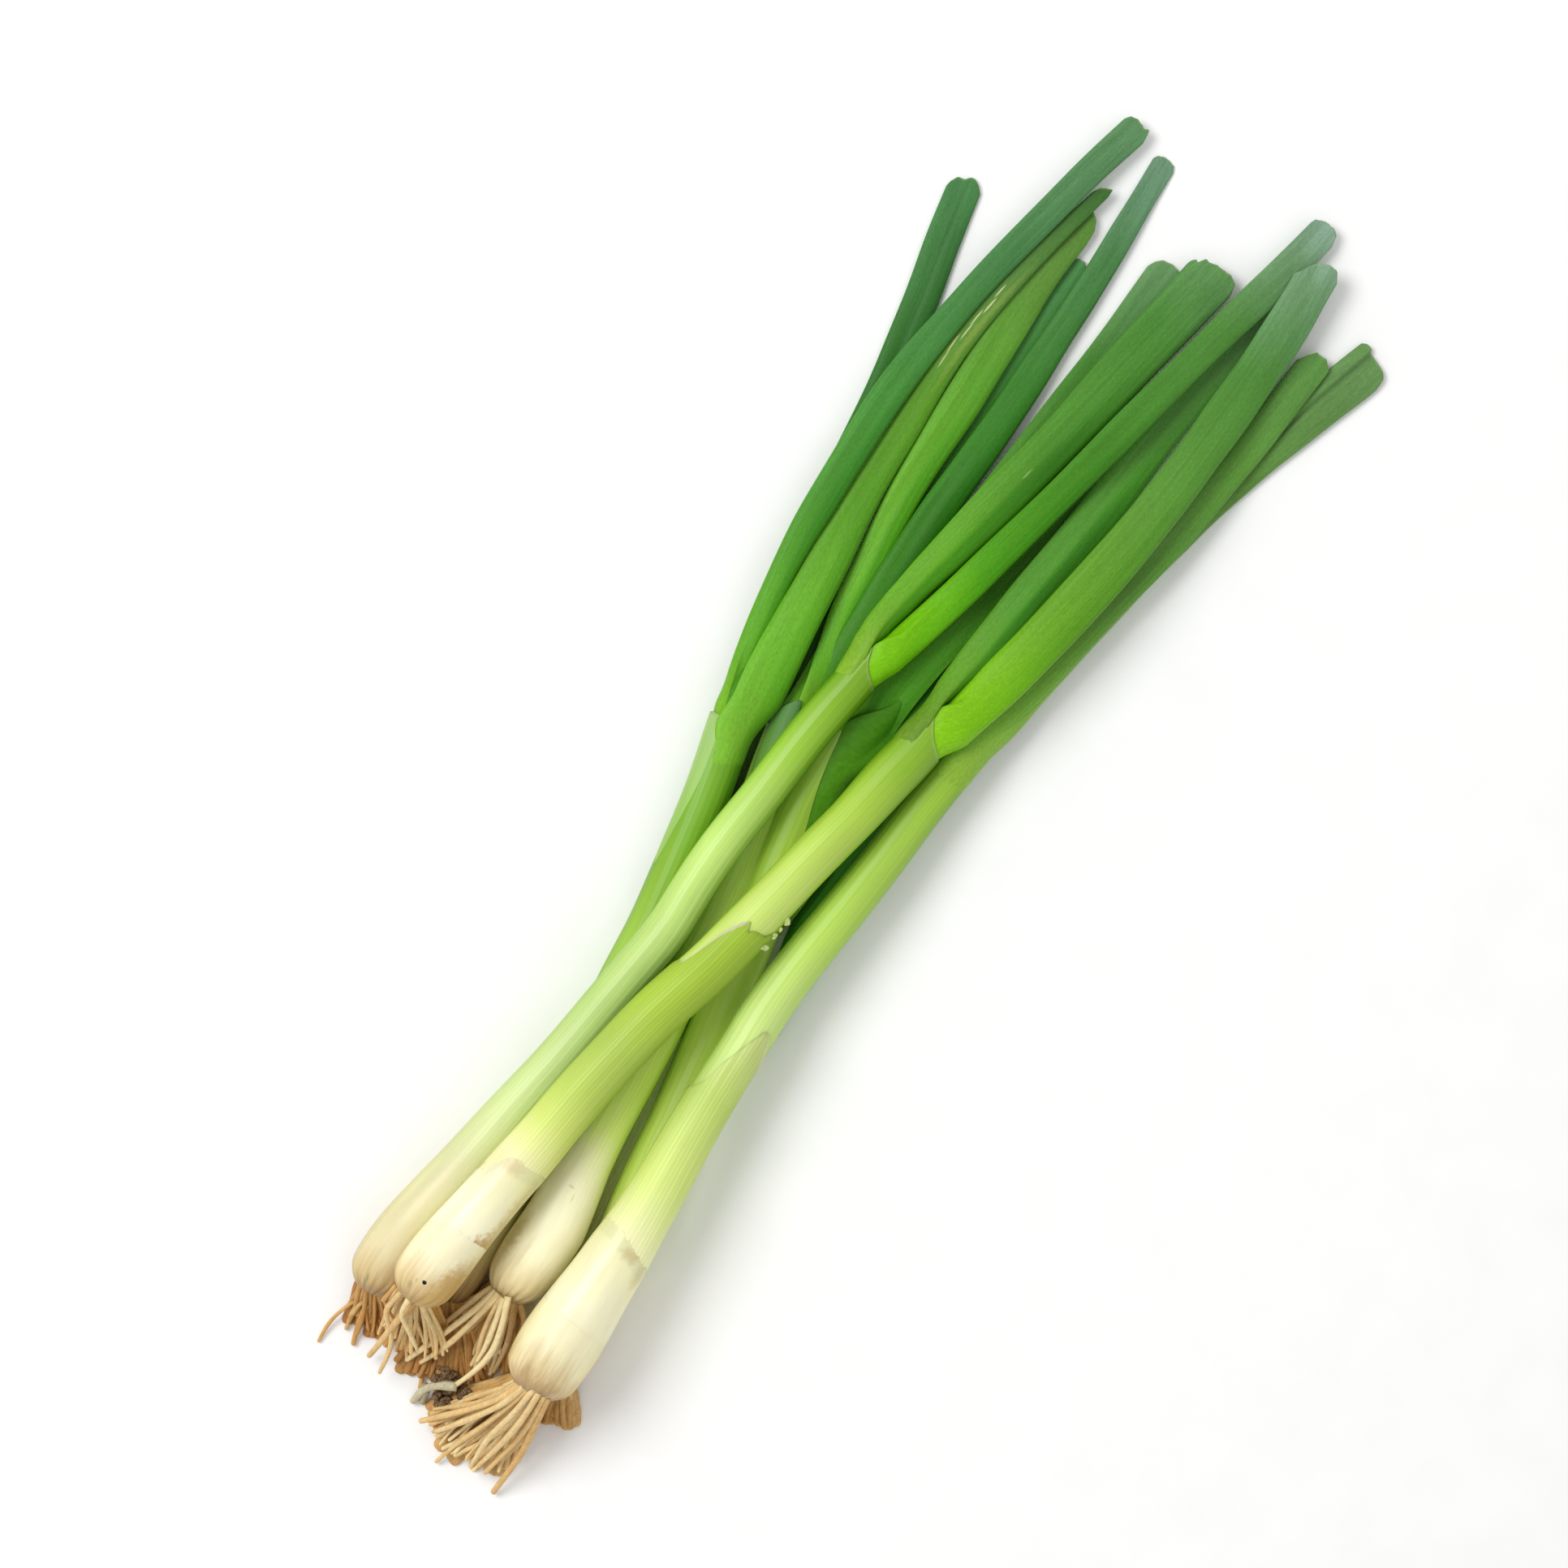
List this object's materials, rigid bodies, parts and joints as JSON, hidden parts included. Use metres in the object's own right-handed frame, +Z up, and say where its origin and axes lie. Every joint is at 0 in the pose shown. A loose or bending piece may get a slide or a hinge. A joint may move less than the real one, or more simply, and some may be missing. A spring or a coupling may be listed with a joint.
{
  "type": "spring onion bunch",
  "caption": "Loose bunch of spring onions lying on its side: white bulbs with trimmed roots at one end, long green cut leaves fanning out at the other.",
  "frame": {"origin": "middle of the bunch's footprint, on the surface it lies on", "axes": "+Z up from the surface; +X along the bunch from the roots to the leaf tips; +Y across the bunch, so the side with onion_1 and onion_6 is +Y at the leaf end"},
  "size_m": [0.3762, 0.1174, 0.032],
  "materials": {
    "stem": "moist satin skin of living leaf sheaths, white at the bulb and yellow-green above",
    "leaf": "waxy green leaf with a dull bloom towards the tip",
    "root": "dry fibrous root, matt tan"
  },
  "bodies": {
    "root": {"onion_1_stem": "stem", "onion_1_roots": "root", "onion_2_stem": "stem", "onion_2_roots": "root", "onion_3_stem": "stem", "onion_3_roots": "root", "onion_4_stem": "stem", "onion_4_roots": "root", "onion_5_stem": "stem", "onion_5_roots": "root", "onion_6_stem": "stem", "onion_6_roots": "root", "onion_5_low_leaf": "leaf", "onion_6_side_leaf": "leaf", "onion_3_middle_leaf": "leaf", "onion_3_outer_leaf": "leaf", "onion_3_inner_leaf": "leaf", "onion_6_outer_leaf": "leaf", "onion_6_inner_leaf": "leaf", "onion_4_inner_leaf": "leaf", "onion_4_outer_leaf": "leaf", "onion_5_outer_leaf": "leaf", "onion_5_inner_leaf": "leaf", "onion_1_outer_leaf": "leaf", "onion_2_outer_leaf": "leaf", "onion_1_inner_leaf": "leaf", "onion_2_inner_leaf": "leaf"}
  },
  "joints": []
}
